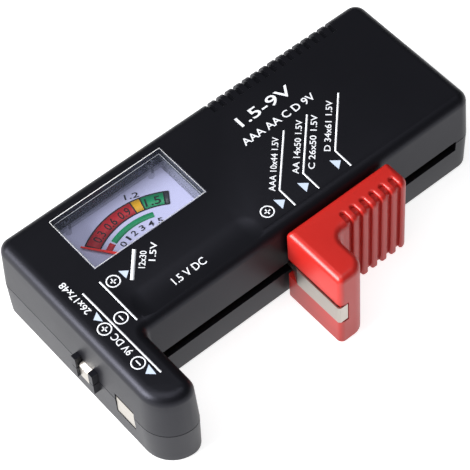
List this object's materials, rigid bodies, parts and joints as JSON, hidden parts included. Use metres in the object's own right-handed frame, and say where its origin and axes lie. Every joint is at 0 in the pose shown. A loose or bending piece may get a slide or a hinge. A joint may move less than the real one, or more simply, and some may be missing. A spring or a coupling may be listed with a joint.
{
  "type": "battery tester",
  "caption": "Hand-held analogue battery tester: L-shaped black case with a dial under a clear window, end contacts for block batteries and a red sliding jaw for round and button cells.",
  "frame": {"origin": "middle of the back face of the case, which it lies on, under the centre of the bounding box", "axes": "+X along the body away from the arm end, +Y from the slider side to the far long side, +Z out of the dial face"},
  "size_m": [0.1116, 0.061, 0.025],
  "materials": {
    "case_black": "satin",
    "slider_red": "satin",
    "clear_cover": "gloss",
    "dial_print": "matte",
    "pointer_red": "satin",
    "nickel_plate": "satin",
    "brass": "satin",
    "steel": "satin",
    "iron": "matte",
    "copper_wire": "satin",
    "meter_black": "matte",
    "board_brown": "matte",
    "resistor_body": "satin",
    "wire_red": "satin",
    "wire_black": "satin",
    "aluminium_former": "satin"
  },
  "bodies": {
    "case": {"front_case": "case_black", "rear_case": "case_black", "case_screws": "steel", "nine_volt_plus": "nickel_plate", "nine_volt_minus": "nickel_plate", "arm_contact": "nickel_plate", "contact_rail": "brass", "meter_base": "meter_black", "meter_terminals": "brass", "meter_cover": "clear_cover", "dial_plate": "dial_print", "meter_yoke": "iron", "meter_magnet": "iron", "meter_bridge": "brass", "meter_foot": "brass", "upper_bearing": "brass", "lower_bearing": "brass", "terminal_board": "board_brown", "board_screws": "steel", "cell_load_resistor": "resistor_body", "block_load_resistor": "resistor_body", "meter_resistor": "resistor_body", "wire_nine_plus": "wire_red", "wire_nine_minus": "wire_black", "wire_arm": "wire_black", "wire_rail": "wire_red", "wire_meter_low": "wire_black", "wire_meter_high": "wire_red"},
    "slider": {"slider_grip": "slider_red", "slider_keeper": "meter_black", "slider_screws": "steel", "slider_wiper": "brass", "slider_contact": "nickel_plate"},
    "pointer": {"coil_frame": "aluminium_former", "coil_winding": "copper_wire", "pointer_pivots": "steel", "hairspring_lower": "brass", "hairspring_upper": "brass", "pointer": "pointer_red", "balance_weight": "brass"}
  },
  "joints": [
    {"name": "slider_travel", "type": "slide", "parent": "case", "child": "slider", "axis": [1, 0, 0], "range_m": [-0.0376, 0.0225]},
    {"name": "pointer_swing", "type": "hinge", "parent": "case", "child": "pointer", "pos_m": [-0.025, 0.0021, 0.0192], "axis": [0, 0, 1], "range_deg": [-72, 0], "stiffness_Nm_per_rad": 0.00002, "springref_deg": 2.86}
  ]
}
